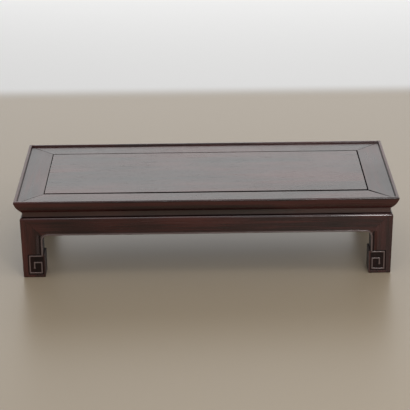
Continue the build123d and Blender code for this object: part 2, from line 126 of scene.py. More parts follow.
# Flats of the curves and steps of the rounds
MOULDING_FLATS = 12
WAIST_FLATS = 6
HOLLOW_FLATS = 5
BEAD_SIDES = 10
KNOB_SIDES = 24
OPENING_STEPS = 12
SHOULDER_STEPS = 8
ARCH_STEPS = 8
LIP_STEPS = 6
LEG_ARRIS_STEPS = 6
CREST_STEPS = 4
FOOT_STEPS = 4
SCROLL_STEPS = 4
ARRIS_STEPS = 3
LEDGE_STEPS = 3
EASE_STEPS = 3

# Reach of a tool past what it meets, and slacks of the workshop
EMBED = 1.0
UNDERCUT = 0.15
BEYOND = 400.0
SLACK = 0.05
EASE_SLACK = 0.01
BEAD_SLACK = 0.005
MERGE = 0.01
PLANE_SLACK = 1e-4

# A direction lies along an axis above the first of these, and square to it below the second
ALONG = 0.9
SQUARE = 0.1

# Angles in degrees: what still counts as flat, and what is shaded as one round
FLAT_ANGLE = 1
ROUND_ANGLE = 32

# How far the broad flats lead in the shading, at its largest
FLATS_WEIGHT = 100

SURFACE = HEIGHT - LIP_HEIGHT
FASCIA_TOP = HEIGHT - FASCIA_DROP
FRAME_BOTTOM = HEIGHT - FRAME_THICKNESS
APRON_TOP = FRAME_BOTTOM - WAIST_HEIGHT
APRON_BOTTOM = APRON_TOP - APRON_HEIGHT
KNEE = APRON_BOTTOM - OPENING_ROUND
CARVING_HIGH = APRON_BOTTOM + CARVING_RISE
WAIST_BACK = SHOULDER + WAIST_THICKNESS
PANEL_BOTTOM = SURFACE - PANEL_THICKNESS
TONGUE_TOP = SURFACE - PANEL_LIP
INNER_X = HALF_LENGTH - RAIL_WIDTH
INNER_Y = HALF_DEPTH - RAIL_WIDTH
FOOT_INNER = LEG_WIDTH + FOOT_LEDGE
LEAN = math.atan2(LEG_LEAN, APRON_TOP)
MITRE = Vector((SHOULDER - LEG_WIDTH, 0, APRON_HEIGHT)).normalized()
MITRE_OUT = Vector((MITRE.z, 0, -MITRE.x))
FRONT_OUT = Vector((0, -math.cos(LEAN), -math.sin(LEAN)))
SIDE_OUT = Vector((-math.cos(LEAN), 0, -math.sin(LEAN)))
SIDE_TURN = {"front": 0, "right": 90, "rear": 180, "left": -90}
OUTWARD = {
    "left": Vector((-1, 0, 0)),
    "right": Vector((1, 0, 0)),
    "front": Vector((0, -1, 0)),
    "rear": Vector((0, 1, 0)),
}


# --- Hand tools -----------------------------------------------------------------------------

def choose(piece):
    """Only this piece is chosen."""
    bpy.ops.object.select_all(action="DESELECT")
    piece.select_set(True)
    bpy.context.view_layer.objects.active = piece


def bake_place(piece):
    """Put the object's place, turn and size into its mesh."""
    choose(piece)
    bpy.ops.object.transform_apply(location=True, rotation=True, scale=True)
    return piece


def block(x, y, z):
    """A cube stretched between three pairs of limits."""
    limits = (x, y, z)
    bpy.ops.object.select_all(action="DESELECT")
    bpy.ops.mesh.primitive_cube_add(size=1, location=[(low + high) / 2 for low, high in limits])
    made = bpy.context.object
    made.scale = [high - low for low, high in limits]
    return bake_place(made)


def at_bench(piece, work):
    """Open a piece in edit mode, work on it and close it."""
    choose(piece)
    bpy.ops.object.mode_set(mode="EDIT")
    bpy.ops.mesh.select_all(action="SELECT")
    work()
    bpy.ops.object.mode_set(mode="OBJECT")
    return piece


def pick(kind, rule):
    """In edit mode, select only the faces, edges or corners that a rule passes."""
    bpy.ops.mesh.select_mode(type=kind)
    bpy.ops.mesh.select_all(action="DESELECT")
    mesh = bmesh.from_edit_mesh(bpy.context.edit_object.data)
    parts = {"FACE": mesh.faces, "EDGE": mesh.edges, "VERT": mesh.verts}[kind]
    for part in parts:
        if kind == "FACE":
            part.select_set(rule(part.calc_center_median(), part.normal))
        elif kind == "EDGE":
            first, second = (corner.co for corner in part.verts)
            part.select_set(rule((first + second) / 2, (second - first).normalized()))
        else:
            part.select_set(rule(part.co))
    mesh.select_flush_mode()
    bmesh.update_edit_mesh(bpy.context.edit_object.data)


def near(value, target, slack=SLACK):
    return abs(value - target) < slack


def shift(offset):
    """Move what is selected."""
    bpy.ops.transform.translate(value=offset)


def pull(offset):
    """Extrude what is selected."""
    bpy.ops.mesh.extrude_region_move(TRANSFORM_OT_translate={"value": offset})


def round_edges(piece, rule, width, steps=1, fullness=0.5):
    """Round the edges that a rule picks by their middle and direction.

    One step makes a plain chamfer. fullness is 0.5 for a true round and less for a flatter one.
    """

    def work():
        pick("EDGE", rule)
        bpy.ops.mesh.bevel(
            offset=width,
            offset_type="OFFSET",
            segments=steps,
            profile=fullness,
            affect="EDGES",
            clamp_overlap=False,
        )

    return at_bench(piece, work)


def plane_off(piece, point, outward):
    """Take off all that stands outside a plane."""

    def work():
        bpy.ops.mesh.bisect(
            plane_co=point,
            plane_no=outward,
            use_fill=True,
            clear_outer=True,
            threshold=PLANE_SLACK,
        )

    return at_bench(piece, work)


def score(piece, point, across):
    """Mark a line round the piece where a plane meets it."""

    def work():
        bpy.ops.mesh.bisect(plane_co=point, plane_no=across, threshold=PLANE_SLACK)

    return at_bench(piece, work)


def clean_flats(piece):
    """Drop the lines that cross a flat."""

    def work():
        bpy.ops.mesh.dissolve_limited(angle_limit=math.radians(FLAT_ANGLE))

    return at_bench(piece, work)


def settle_normals(piece):
    """Merge doubles, then turn every face outwards."""

    def work():
        bpy.ops.mesh.remove_doubles(threshold=MERGE)
        bpy.ops.mesh.normals_make_consistent(inside=False)

    return at_bench(piece, work)


def join_by(piece, tool, operation):
    """Cut a tool's shape away from a piece, or add it, and drop the tool."""
    choose(piece)
    modifier = piece.modifiers.new("shape", "BOOLEAN")
    modifier.operation = operation
    modifier.solver = "EXACT"
    modifier.object = tool
    bpy.ops.object.modifier_apply(modifier=modifier.name)
    bpy.data.objects.remove(tool)
    return piece


def cut(piece, tool):
    return join_by(piece, tool, "DIFFERENCE")


def add(piece, tool):
    return join_by(piece, tool, "UNION")


def copy_of(piece):
    """The same shape again, with a mesh of its own."""
    twin = piece.copy()
    twin.data = piece.data.copy()
    bpy.context.scene.collection.objects.link(twin)
    return twin


def moved_by(piece, matrix):
    """Move, turn or mirror a piece by a matrix that goes into its mesh."""
    piece.matrix_world = matrix @ piece.matrix_world
    bake_place(piece)
    if matrix.determinant() < 0:
        settle_normals(piece)
    return piece


def turned(piece, side):
    """Turn a piece made for the front to its side of the table."""
    return moved_by(piece, Matrix.Rotation(math.radians(SIDE_TURN[side]), 4, "Z"))


def mirrored_x(piece):
    return moved_by(piece, Matrix.Scale(-1, 4, (1, 0, 0)))


def mirrored_y(piece):
    return moved_by(piece, Matrix.Scale(-1, 4, (0, 1, 0)))


def as_made(piece):
    return piece


def swapped(piece):
    """The same shape on the other outer face of a leg."""
    return moved_by(piece, Matrix(((0, 1, 0, 0), (1, 0, 0, 0), (0, 0, 1, 0), (0, 0, 0, 1))))


def leaned(piece, face_y=0.0):
    """Tip a shape made against an upright face so that it lies against the leaning one."""
    hinge = Vector((0, face_y, APRON_TOP))
    tip = Matrix.Rotation(LEAN, 4, "X")
    return moved_by(piece, Matrix.Translation(hinge) @ tip @ Matrix.Translation(-hinge))


def shade(piece):
    """Smooth shading over rounds, crisp over arrises and even over the broad flats."""
    choose(piece)
    bpy.ops.object.shade_smooth_by_angle(angle=math.radians(ROUND_ANGLE))
    modifier = piece.modifiers.new("even_flats", "WEIGHTED_NORMAL")
    modifier.mode = "FACE_AREA"
    modifier.weight = FLATS_WEIGHT
    modifier.keep_sharp = True
    bpy.ops.object.modifier_apply(modifier=modifier.name)


def run_of(side):
    """Half length along a side, and from the middle of the table to its edge."""
    return (HALF_LENGTH, HALF_DEPTH) if side in ("front", "rear") else (HALF_DEPTH, HALF_LENGTH)


def curved_flats(low, high, bulge, count):
    """Flats that together make a bulging curve, as (point, outward direction) in a section."""
    chord = high - low
    radius = (chord.length_squared / 4 + bulge ** 2) / (2 * bulge)
    outward = Vector((-chord.y, chord.x)).normalized()
    centre = (low + high) / 2 + outward * (bulge - radius)
    half_angle = math.asin(chord.length / 2 / radius)
    flats = []
    for index in range(count):
        angle = half_angle * ((2 * index + 1) / count - 1)
        across = Matrix.Rotation(angle, 2) @ outward
        flats.append((centre + across * radius, across))
    return flats


# --- Top ------------------------------------------------------------------------------------

def frame_rail(side):
    """Member of the top frame with its lip, swept edge, panel groove and mitred ends."""
    half_run, reach = run_of(side)
    lip_y = LIP_WIDTH - reach
    rail = block((-half_run, half_run), (-reach, RAIL_WIDTH - reach), (FRAME_BOTTOM, SURFACE))
    score(rail, (0, lip_y, 0), (0, 1, 0))
    for height in (PANEL_BOTTOM, TONGUE_TOP):
        score(rail, (0, 0, height), (0, 0, 1))

    def raise_lip_and_sink_groove():
        pick("FACE", lambda at, out: out.z > ALONG and at.y < lip_y)
        pull((0, 0, LIP_HEIGHT))
        pick("FACE", lambda at, out: out.y > ALONG and PANEL_BOTTOM < at.z < TONGUE_TOP)
        pull((0, -PANEL_GROOVE, 0))

    at_bench(rail, raise_lip_and_sink_groove)
    low = Vector((MOULDING_UNDERCUT, FRAME_BOTTOM))
    high = Vector((0, FASCIA_TOP))
    for point, outward in curved_flats(low, high, MOULDING_BULGE, MOULDING_FLATS):
        plane_off(rail, (0, point.x - reach, point.y), (0, outward.x, outward.y))
    rounds = [
        (-reach, HEIGHT, LIP_OUTER_ROUND, LIP_STEPS),
        (lip_y, HEIGHT, LIP_CREST_ROUND, CREST_STEPS),
        (lip_y, SURFACE, LIP_HOLLOW, LIP_STEPS),
        (RAIL_WIDTH - reach, SURFACE, ARRIS, ARRIS_STEPS),
    ]
    for y, z, width, steps in rounds:
        round_edges(
            rail,
            lambda at, run: abs(run.x) > ALONG and near(at.y, y) and near(at.z, z),
            width,
            steps,
        )
    for end in (-1, 1):
        plane_off(rail, (end * half_run, -reach, 0), (end, 1, 0))
    round_edges(
        rail,
        lambda at, run: near(abs(at.x) + at.y, half_run - reach) and near(abs(run.x), abs(run.y)),
        SEAM,
    )
    return turned(rail, side)


def batten_places():
    """Middle of each batten along the panel."""
    step = 2 * INNER_X / (BATTEN_COUNT + 1)
    return [step * (index + 1) - INNER_X for index in range(BATTEN_COUNT)]


def dovetail_rib(x):
    """Waste of the dovetail groove for one batten."""
    half_head = DOVETAIL_WIDTH / 2 + DOVETAIL_FLARE
    half_length = INNER_Y - DOVETAIL_STOP
    top = PANEL_BOTTOM + DOVETAIL_HEIGHT
    rib = block(
        (x - half_head, x + half_head),
        (-half_length, half_length),
        (PANEL_BOTTOM - EMBED, top),
    )
    for hand in (-1, 1):
        outward = (hand * DOVETAIL_HEIGHT, 0, -DOVETAIL_FLARE)
        plane_off(rib, (x + hand * half_head, 0, top), outward)
    return rib


def floating_panel():
    """Panel level with the frame, tongued into it and grooved below for the battens."""
    left, right = PANEL_GAPS["left"] - INNER_X, INNER_X - PANEL_GAPS["right"]
    front, rear = PANEL_GAPS["front"] - INNER_Y, INNER_Y - PANEL_GAPS["rear"]
    tongue_top = TONGUE_TOP - TONGUE_EASE
    panel = block((left, right), (front, rear), (PANEL_BOTTOM, SURFACE))
    score(panel, (0, 0, tongue_top), (0, 0, 1))

    def draw_tongues():
        for side, gap in PANEL_GAPS.items():
            outward = OUTWARD[side]
            pick("FACE", lambda at, out: out.dot(outward) > ALONG and at.z < tongue_top)
            pull(outward * (gap + PANEL_TONGUE))

    at_bench(panel, draw_tongues)
    round_edges(panel, lambda at, run: near(at.z, SURFACE), ARRIS, ARRIS_STEPS)
    for x in batten_places():
        cut(panel, dovetail_rib(x))
    return panel


# --- Waist and aprons -----------------------------------------------------------------------

def waist_strip(side):
    """Strip between frame and apron with a slightly hollow face and mitred ends."""
    half_run, reach = run_of(side)
    inset = APRON_SETBACK + SHOULDER
    face_y = inset - reach
    half_span = half_run - inset
    strip = block(
        (-half_span, half_span),
        (face_y, face_y + WAIST_THICKNESS),
        (APRON_TOP, FRAME_BOTTOM),
    )
    shares = [index / WAIST_FLATS for index in range(1, WAIST_FLATS)]
    for share in shares:
        score(strip, (0, 0, APRON_TOP + share * WAIST_HEIGHT), (0, 0, 1))

    def hollow_face():
        for share in shares:
            height = APRON_TOP + share * WAIST_HEIGHT
            pick("EDGE", lambda at, run: near(at.y, face_y) and near(at.z, height))
            # A curve that is deepest half way up, where share * (1 - share) is a quarter.
            shift((0, 4 * WAIST_HOLLOW * share * (1 - share), 0))

    at_bench(strip, hollow_face)
    for end in (-1, 1):
        plane_off(strip, (end * half_span, face_y, 0), (end, 1, 0))
    return turned(strip, side)


def opening_tool(left, right, face_y):
    """The opening under an apron, rounded at its upper corners."""
    tool = block((left, right), (face_y - LEG_WIDTH, face_y + LEG_WIDTH), (-BEYOND, APRON_BOTTOM))
    round_edges(
        tool,
        lambda at, run: abs(run.y) > ALONG and near(at.z, APRON_BOTTOM),
        OPENING_ROUND,
        OPENING_STEPS,
    )
    return leaned(tool, face_y)


def round_the_opening(section, left, right):
    """Draw a section up the left side of an opening, across under the apron and down again."""

    def corner(x):
        bpy.ops.mesh.spin(
            steps=OPENING_STEPS, angle=-math.pi / 2, center=(x, 0, KNEE), axis=(0, 1, 0)
        )

    def work():
        pull((0, 0, KNEE - FOOT_HEIGHT))
        corner(left + OPENING_ROUND)
        pull((right - left - 2 * OPENING_ROUND, 0, 0))
        corner(right - OPENING_ROUND)
        pull((0, 0, FOOT_HEIGHT - KNEE))

    at_bench(section, work)
    return settle_normals(section)


def bead_tool(left, right, face_y):
    """Waste round the bead and its groove along an opening, leaving the bead as a rounded rib."""
    outer = left - BEAD - BEAD_GROOVE
    bpy.ops.object.select_all(action="DESELECT")
    bpy.ops.mesh.primitive_plane_add(size=1)
    section = bpy.context.object
    section.scale = (left + EMBED - outer, BEAD_DEPTH + EMBED, 1)
    section.location = ((left + EMBED + outer) / 2, (BEAD_DEPTH - EMBED) / 2, FOOT_HEIGHT)
    bake_place(section)
    half_width = (BEAD + BEAD_RUNOUT) / 2
    middle = left + BEAD_RUNOUT - half_width
    crest = []
    for index in range(BEAD_SIDES + 1):
        turn = math.pi * index / BEAD_SIDES
        x = middle + half_width * math.cos(turn)
        crest.append((x, (BEAD_DEPTH - BEAD_RECESS) * math.sin(turn)))
        score(section, (x, 0, 0), (1, 0, 0))

    def raise_bead_and_slope_groove():
        for x, rise in crest:
            pick("VERT", lambda at: near(at.x, x, BEAD_SLACK) and at.y > 0)
            shift((0, -rise, 0))
        pick("VERT", lambda at: near(at.x, outer) and at.y > 0)
        shift((0, -BEAD_DEPTH, 0))
        bpy.ops.mesh.select_mode(type="FACE")
        bpy.ops.mesh.select_all(action="SELECT")

    at_bench(section, raise_bead_and_slope_groove)
    run = round_the_opening(section, left, right)
    return leaned(moved_by(run, Matrix.Translation((0, face_y, 0))), face_y)


def mark_carving(piece, faces, left_unmarked=lambda corners, depths: False):
    """Note how deep each corner of the carving lies below its leaning face, in millimetres.

    faces holds a point and the outward direction of every carved face; what left_unmarked picks
    by its corners and their depths isn't marked.
    """
    mesh = piece.data
    marks = mesh.attributes.new("carving", "FLOAT", "CORNER")
    for polygon in mesh.polygons:
        corners = [mesh.vertices[index].co for index in polygon.vertices]
        heights = [at.z for at in corners]
        if min(heights) < CARVING_LOW or max(heights) > CARVING_HIGH:
            continue
        for point, outward in faces:
            depths = [(point - at).dot(outward) for at in corners]
            others = [
                min((place - at).dot(out) for at in corners)
                for place, out in faces
                if out != outward
            ]
            carved = max(depths) < CARVING_REACH and all(other > LEG_ROUND for other in others)
            if carved and not left_unmarked(corners, depths):
                for loop, depth in zip(polygon.loop_indices, depths):
                    marks.data[loop].value = max(depth, 0.0)


def apron(side):
    """Apron with its rounded shoulder, bead and mitred ends."""
    half_run, reach = run_of(side)
    corner = half_run - APRON_SETBACK
    half_opening = corner - LEG_WIDTH
    face_y = APRON_SETBACK - reach
    board = block((-corner, corner), (face_y, face_y + APRON_THICKNESS), (KNEE, APRON_TOP))
    plane_off(board, (0, face_y, APRON_TOP), FRONT_OUT)
    round_edges(
        board,
        lambda at, run: abs(run.x) > ALONG and near(at.y, face_y) and near(at.z, APRON_TOP),
        SHOULDER,
        SHOULDER_STEPS,
        SHOULDER_FULLNESS,
    )
    cut(board, opening_tool(-half_opening, half_opening, face_y))
    for end in (-1, 1):
        plane_off(
            board,
            (end * (half_opening - SEAM / 2), face_y, APRON_BOTTOM),
            (end * MITRE_OUT.x, 0, -MITRE_OUT.z),
        )
        plane_off(board, (end * corner, face_y, 0), (end, 1, 0))
    cut(board, bead_tool(-half_opening, half_opening, face_y))
    settle_normals(board)
    for end in (-1, 1):
        lap_back = block(
            sorted((end * half_opening, end * (half_run + LEG_WIDTH))),
            (face_y + WAIST_BACK, face_y + 2 * APRON_THICKNESS),
            (0, HEIGHT),
        )
        cut(board, lap_back)
    mark_carving(board, ((Vector((0, face_y, APRON_TOP)), FRONT_OUT),))
    return turned(board, side)


# --- Legs, shaped with the outer corner of their top at x = y = 0 ---------------------------

def corner_web():
    """The leg's share of the rounded corner of the opening."""
    web = block(
        (LEG_WIDTH - EMBED, LEG_WIDTH + OPENING_ROUND),
        (0, APRON_THICKNESS),
        (KNEE + WEB_LIFT, APRON_BOTTOM),
    )
    cut(web, opening_tool(LEG_WIDTH, LEG_WIDTH + BEYOND, 0))
    return plane_off(web, (LEG_WIDTH - SEAM / 2 + EMBED, 0, APRON_BOTTOM), MITRE_OUT)


def leg_post():
    """Square post with its stepped foot, corner webs, leaning faces and rounded arrises."""
    post = block((0, LEG_WIDTH), (0, LEG_WIDTH), (0, APRON_TOP))
    score(post, (0, 0, FOOT_HEIGHT), (0, 0, 1))
    for across in ((1, 0, 0), (0, 1, 0)):
        score(post, (WAIST_BACK, WAIST_BACK, 0), across)

    def step_foot_and_raise_neck():
        for inward in (Vector((1, 0, 0)), Vector((0, 1, 0))):
            pick("FACE", lambda at, out: out.dot(inward) > ALONG and at.z < FOOT_HEIGHT)
            pull(inward * FOOT_LEDGE)
        pick(
            "FACE",
            lambda at, out: out.z > ALONG
            and min(at.x, at.y) > WAIST_BACK
            and at.z > FOOT_HEIGHT + EMBED,
        )
        pull((0, 0, WAIST_HEIGHT))

    at_bench(post, step_foot_and_raise_neck)
    add(post, corner_web())
    add(post, swapped(corner_web()))
    for outward in (SIDE_OUT, FRONT_OUT):
        plane_off(post, (0, 0, APRON_TOP), outward)
    round_edges(
        post,
        lambda at, run: near(at.z, APRON_TOP) and near(min(at.x, at.y), 0),
        LEG_ROUND,
        SHOULDER_STEPS,
        SHOULDER_FULLNESS,
    )
    round_edges(
        post,
        lambda at, run: near(at.x, at.y) and at.x < LEG_ROUND and abs(run.z) > SQUARE,
        LEG_ARRIS,
        LEG_ARRIS_STEPS,
    )
    round_edges(
        post,
        lambda at, run: near(at.z, 0)
        and (near(max(at.x, at.y), FOOT_INNER) or min(at.x, at.y) < FOOT_LEDGE),
        FOOT_ROUND,
        FOOT_STEPS,
    )
    round_edges(
        post,
        lambda at, run: near(at.z, FOOT_HEIGHT) and near(max(at.x, at.y), FOOT_INNER),
        LEDGE_ROUND,
        LEDGE_STEPS,
    )
    return post


def lap_tool():
    """Room on the leg for the mitred lap of the front apron."""
    tool = block((-EMBED, 2 * LEG_WIDTH), (-EMBED, WAIST_BACK), (0, APRON_TOP + EMBED))
    plane_off(tool, (LEG_WIDTH - SEAM / 2, 0, APRON_BOTTOM), -MITRE_OUT)
    return plane_off(tool, (0, 0, 0), (-1, 1, 0))


def hollow_tool():
    """Long arched hollow beside the bead, deepest along the bead."""
    right = LEG_WIDTH - BEAD + UNDERCUT
    left = right - HOLLOW_WIDTH
    foot = FOOT_HEIGHT + SCROLL_GROOVE / 2
    tool = block((left, right), (-EMBED, 2 * HOLLOW_DEPTH), (foot, APRON_BOTTOM + HOLLOW_RISE))
    round_edges(
        tool,
        lambda at, run: abs(run.y) > ALONG and at.z > APRON_BOTTOM,
        HOLLOW_WIDTH / 2 - ARCH_CROWN,
        ARCH_STEPS,
    )
    shallow = Vector((left, 0))
    deep = Vector((right, HOLLOW_DEPTH))
    for point, outward in curved_flats(shallow, deep, HOLLOW_BELLY, HOLLOW_FLATS):
        plane_off(tool, (point.x, point.y, 0), (outward.x, outward.y, 0))
    return leaned(tool)


def scroll_field_tool():
    """Ground sunk into the foot round the scroll."""
    right = FOOT_INNER - SCROLL_BORDER
    stroke = FOOT_HEIGHT - SCROLL_RIDGE / 2
    tool = block((SCROLL_OUTER_BORDER, right), (-EMBED, SCROLL_DEPTH), (SCROLL_BASE, stroke))
    above = block(
        (SCROLL_OUTER_BORDER, LEG_WIDTH - BEAD + UNDERCUT),
        (-EMBED, SCROLL_DEPTH),
        (stroke - EMBED, FOOT_HEIGHT + SCROLL_GROOVE),
    )
    add(tool, above)
    round_edges(
        tool,
        lambda at, run: abs(run.y) > ALONG
        and (near(at.x, SCROLL_OUTER_BORDER) or (near(at.x, right) and at.z < FOOT_HEIGHT / 2)),
        SCROLL_ROUND,
        SCROLL_STEPS,
    )
    return leaned(tool)


def scroll_path():
    """Middle line of the scroll, from the inner edge of the foot to its heart."""
    half_ridge = SCROLL_RIDGE / 2
    field_right = FOOT_INNER - SCROLL_BORDER
    outer_x = SCROLL_OUTER_BORDER + SCROLL_GROOVE + half_ridge
    inner_x = field_right - SCROLL_GROOVE - half_ridge
    top_z = FOOT_HEIGHT - half_ridge
    bottom_z = SCROLL_BASE + SCROLL_GROOVE + half_ridge
    heart_x = inner_x - SCROLL_HOOK_REACH
    corners = [
        (field_right + half_ridge, top_z),
        (outer_x, top_z),
        (outer_x, bottom_z),
        (inner_x, bottom_z),
        (inner_x, SCROLL_HOOK_HEIGHT),
        (heart_x, SCROLL_HOOK_HEIGHT),
        (heart_x, SCROLL_HOOK_HEIGHT - SCROLL_HOOK_DROP),
    ]
    return [Vector((x, 0, z)) for x, z in corners]


def scroll_knob(heart):
    """Round knob with an eased crest at the heart of the scroll."""
    bpy.ops.object.select_all(action="DESELECT")
    bpy.ops.mesh.primitive_cylinder_add(
        vertices=KNOB_SIDES,
        radius=SCROLL_KNOB,
        depth=SCROLL_DEPTH,
        location=(heart.x, SCROLL_DEPTH / 2 + SCROLL_SINK / 2, heart.z),
        rotation=(math.pi / 2, 0, 0),
    )
    knob = bake_place(bpy.context.object)
    return round_edges(
        knob,
        lambda at, run: at.y < SCROLL_SINK and abs(run.y) < SQUARE,
        SCROLL_EASE,
        EASE_STEPS,
    )


def scroll_ridge():
    """Raised scroll: strokes drawn out one by one, then rounded, with a knob at the heart."""
    path = scroll_path()
    half_ridge = SCROLL_RIDGE / 2
    start = path[0]
    ridge = block(
        (start.x - half_ridge, start.x + half_ridge),
        (SCROLL_SINK, SCROLL_DEPTH + EMBED),
        (start.z - half_ridge, start.z + half_ridge),
    )

    def draw_strokes():
        for begin, end in zip(path, path[1:]):
            along = (end - begin).normalized()
            mouth = begin + along * half_ridge
            pick(
                "FACE",
                lambda at, out: out.dot(along) > ALONG
                and near(at.x, mouth.x)
                and near(at.z, mouth.z),
            )
            pull(along * ((end - begin).length - SCROLL_RIDGE))
            pull(along * SCROLL_RIDGE)

    at_bench(ridge, draw_strokes)
    clean_flats(ridge)
    round_edges(
        ridge,
        lambda at, run: abs(run.y) > ALONG and at.x < start.x,
        SCROLL_ROUND,
        SCROLL_STEPS,
    )
    round_edges(
        ridge,
        lambda at, run: near(at.y, SCROLL_SINK, EASE_SLACK),
        SCROLL_EASE,
        EASE_STEPS,
    )
    add(ridge, scroll_knob(path[-1]))
    return leaned(ridge)


def in_open_hollow(corners, depths):
    """Whether a face belongs to the open part of a leg's long hollow."""
    beside_bead = max(max(at.x, at.y) for at in corners) < LEG_WIDTH - BEAD + 2 * UNDERCUT
    above_scroll = max(at.z for at in corners) > FOOT_HEIGHT + SCROLL_RIDGE
    return beside_bead and above_scroll and min(depths) < SCROLL_DEPTH


def leg():
    """Leg with its bead, hollows and square-scroll foot on both outer faces."""
    post = leg_post()
    for placed in (as_made, swapped):
        bead = bead_tool(LEG_WIDTH, LEG_WIDTH + BEYOND, 0)
        plane_off(bead, (LEG_WIDTH + BEAD, 0, APRON_BOTTOM), MITRE_OUT)
        for tool in (bead, hollow_tool(), scroll_field_tool()):
            cut(post, placed(tool))
        add(post, placed(scroll_ridge()))
    for placed in (as_made, swapped):
        cut(post, placed(lap_tool()))
    settle_normals(post)
    corner = Vector((0, 0, APRON_TOP))
    mark_carving(post, ((corner, FRONT_OUT), (corner, SIDE_OUT)), in_open_hollow)
    setback = (APRON_SETBACK - HALF_LENGTH, APRON_SETBACK - HALF_DEPTH, 0)
    return moved_by(post, Matrix.Translation(setback))


# --- Materials ------------------------------------------------------------------------------

# Patterns of the wood, by how fine they are along the grain and across it
BANDS = {"lengthwise": 1.5, "crosswise": 22, "detail": 4, "distortion": 0.8}
STREAKS = {"lengthwise": 4, "crosswise": 110, "detail": 5, "roughness": 0.65}
PORES = {"lengthwise": 16, "crosswise": 900, "detail": 2}
PATCHES = {"lengthwise": 2.4, "crosswise": 9, "detail": 3, "offset": (4, 2, 7)}
HANDLING = {"lengthwise": 5, "crosswise": 5, "detail": 4, "offset": (1, 8, 3)}
PATTERN_ROUGHNESS = 0.55
PATTERN_MIDDLE = 0.5
RED_PATCHES = (0.42, 0.68)
OPEN_PORES = (0.60, 0.70)

# Share of each pattern in the tone, the roughness and the relief of the wood
BANDS_IN_TONE = 0.4
STREAKS_IN_TONE = 0.35
PATCHES_IN_TONE = 0.25
HANDLING_IN_ROUGHNESS = 0.16
STREAKS_IN_ROUGHNESS = 0.10
PORES_IN_ROUGHNESS = 0.08
BANDS_IN_RELIEF = 0.5
STREAKS_IN_RELIEF = 0.3
PORES_IN_RELIEF = 0.4
PORE_DARKNESS = 0.5
TOP_REDNESS = 0.6
STAND_REDNESS = 0.4

# Colours: those of the wood by its tone, then redder wood, dark wood for pores and painted shade,
# a painted highlight for carved crests, and the dark of old wax and painted shade
WOOD_TONES = [
    (0.41, (0.008, 0.0028, 0.0029)),
    (0.50, (0.030, 0.0084, 0.0078)),
    (0.59, (0.068, 0.0186, 0.0160)),
]
RED_WOOD = (0.090, 0.0175, 0.0142, 1)
DARK_WOOD = (0.006, 0.002, 0.0015, 1)
CREST_HIGHLIGHT_TONE = (0.18, 0.132, 0.122, 1)
OLD_WAX_AND_SHADE = (0.0035, 0.0025, 0.0025, 1)

# Polish, by roughness, and the relief that shows in it, in metres
POLISH = 0.25
END_POLISH = 0.30
UNPOLISHED = 0.6
WOOD_IOR = 1.55
TOP_WAVINESS = 0.0004
STAND_WAVINESS = 0.00015
WAVINESS_STRENGTH = 0.5

# Old wax of the top's joints, and painted shade in its gap and beside the front gap, in
# millimetres
WAX_AND_SHADE_EDGE = 1.0
WAX_AND_SHADE_FADE = 0.2
WAX_AND_SHADE_TOP = 0.1
MITRE_WAX = 0.9
OPEN_MITRE_WAX = 3.4
OPEN_MITRE_X = (200.0, 300.0)
OPEN_MITRE_Y = (-50.0, -100.0)
FRONT_SHADE = 2.8
FRONT_SHADE_X = (-384.3, -128.1)

# Depths below a carved face, in millimetres, over which the painted highlight and polish of its
# crests, and its painted shade with old wax, set in
CREST_DEPTHS = (0.03, 0.12)
CARVING_SHADE_AND_WAX = (0.75, 1.5)

# Widths of other wear, in millimetres
# Widths, in millimetres, of the rubbed edge with its painted highlight, of the painted-shade
# crease and of soft edges
EDGE_BAND = 15.0
CREASE_WIDTH = 2.0
SOFT_EDGE = 1.0

# Shares of painted shade with old wax, of painted highlight, wear and lacquer, from 0 to 1
CARVING_SHADE_AND_WAX_SHARE = 0.75
CREASE_SHADE_SHARE = 0.8
CREST_HIGHLIGHT = 0.7
WAIST_DARKNESS = 0.35
WAIST_LACQUER = 0.6
INNER_SIDE_SHADE = 0.5
SHOULDER_EVENNESS = 0.8

# Roughness of the lacquer, and what wear takes from the wood's roughness or adds to it
LACQUER_ROUGHNESS = 0.2
CREST_POLISH = 0.08
SHOULDER_POLISH = 0.12
EDGE_ROUGHNESS = 0.08
DULL_ROUGHNESS = 0.35


class Shade:
    """A number that varies over a surface; expressions on it add Math nodes."""

    def __init__(self, finish, socket):
        self.finish = finish
        self.socket = socket

    def _with(self, operation, first, second):
        settings = {"operation": operation}
        made = self.finish.node("ShaderNodeMath", settings, {0: first, 1: second})
        return Shade(self.finish, made.outputs[0])

    def __add__(self, other):
        return self._with("ADD", self, other)

    __radd__ = __add__

    def __sub__(self, other):
        return self._with("SUBTRACT", self, other)

    def __rsub__(self, other):
        return self._with("SUBTRACT", other, self)

    def __mul__(self, other):
        return self._with("MULTIPLY", self, other)

    __rmul__ = __mul__

    def size(self):
        """The number without its sign."""
        return self._with("ABSOLUTE", self, 0.0)

    def either(self, other):
        """The larger of two numbers."""
        return self._with("MAXIMUM", self, other)


